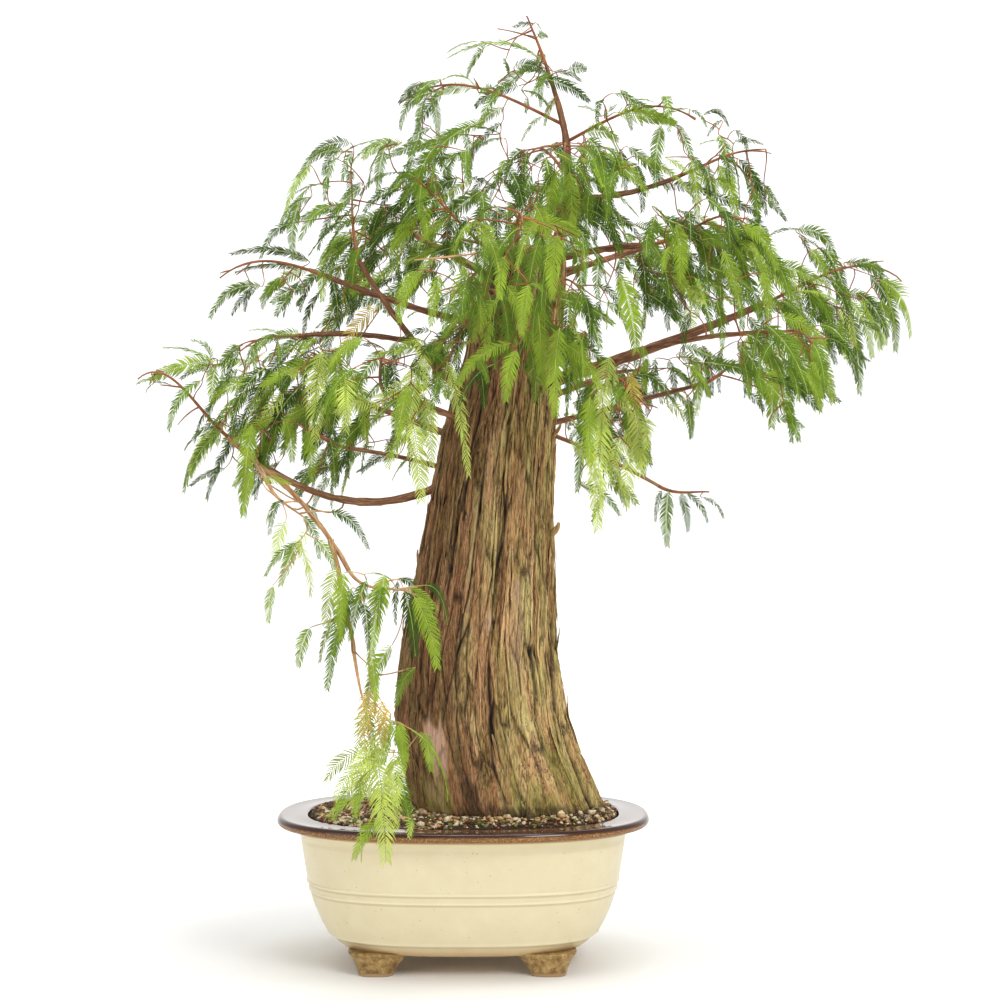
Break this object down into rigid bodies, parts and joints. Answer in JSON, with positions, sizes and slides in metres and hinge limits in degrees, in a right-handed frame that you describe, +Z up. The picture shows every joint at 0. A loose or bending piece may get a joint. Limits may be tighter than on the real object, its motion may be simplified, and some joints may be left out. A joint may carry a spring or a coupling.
{
  "type": "bald cypress bonsai tree",
  "caption": "Bald cypress bonsai: tall flared trunk, weeping sprays of fine needles and a cascading limb, in an oval glazed pot on bracket feet.",
  "frame": {"origin": "on the surface that the pot stands on, under the middle of the whole plant's box", "axes": "+Z up along the trunk; +X towards the longest right-hand bough; -Y is the front, where the cascade hangs over the pot's rim"},
  "size_m": [0.7006, 0.4977, 0.8706],
  "materials": {
    "cream_glaze": "satin cream glaze with a brown lip",
    "foot_clay": "amber-brown glaze, bare sole",
    "soil_grit": "matt gritty bonsai soil",
    "trunk_bark": "matt stringy bark",
    "bough_bark": "matt reddish-brown young bark",
    "cypress_foliage": "soft green needles"
  },
  "bodies": {
    "root": {"bough_back_low_left": "bough_bark", "bough_back_low_right": "bough_bark", "bough_back_middle": "bough_bark", "bough_back_upper_left": "bough_bark", "bough_back_upper_right": "bough_bark", "bough_cascade": "bough_bark", "bough_cascade_drop": "bough_bark", "bough_cascade_lower": "bough_bark", "bough_front_high": "bough_bark", "bough_front_right": "bough_bark", "bough_left_inner": "bough_bark", "bough_left_low": "bough_bark", "bough_left_middle": "bough_bark", "bough_left_rise": "bough_bark", "bough_left_thin": "bough_bark", "bough_left_upper": "bough_bark", "bough_right_drop": "bough_bark", "bough_right_low": "bough_bark", "bough_right_main": "bough_bark", "bough_right_shoot": "bough_bark", "bough_right_shoulder": "bough_bark", "bough_right_upper": "bough_bark", "leader": "bough_bark", "mass_back_low_left": "cypress_foliage", "mass_back_low_right": "cypress_foliage", "mass_back_middle": "cypress_foliage", "mass_back_top": "cypress_foliage", "mass_back_upper_left": "cypress_foliage", "mass_back_upper_right": "cypress_foliage", "mass_cascade_low": "cypress_foliage", "mass_cascade_middle": "cypress_foliage", "mass_cascade_upper": "cypress_foliage", "mass_dome_left": "cypress_foliage", "mass_front_high": "cypress_foliage", "mass_front_left": "cypress_foliage", "mass_front_right": "cypress_foliage", "mass_left_inner": "cypress_foliage", "mass_left_low": "cypress_foliage", "mass_left_middle": "cypress_foliage", "mass_left_thin": "cypress_foliage", "mass_left_upper": "cypress_foliage", "mass_right_inner": "cypress_foliage", "mass_right_lone": "cypress_foliage", "mass_right_low": "cypress_foliage", "mass_right_shoot": "cypress_foliage", "mass_right_shoulder": "cypress_foliage", "mass_right_tip": "cypress_foliage", "mass_right_upper": "cypress_foliage", "mass_top": "cypress_foliage", "mass_top_left": "cypress_foliage", "mass_top_right": "cypress_foliage", "mass_upper_centre": "cypress_foliage", "mass_upper_left": "cypress_foliage", "pot_bowl": "cream_glaze", "pot_foot_back_left": "foot_clay", "pot_foot_back_right": "foot_clay", "pot_foot_front_left": "foot_clay", "pot_foot_front_right": "foot_clay", "soil": "soil_grit", "trunk": "trunk_bark"}
  },
  "joints": []
}
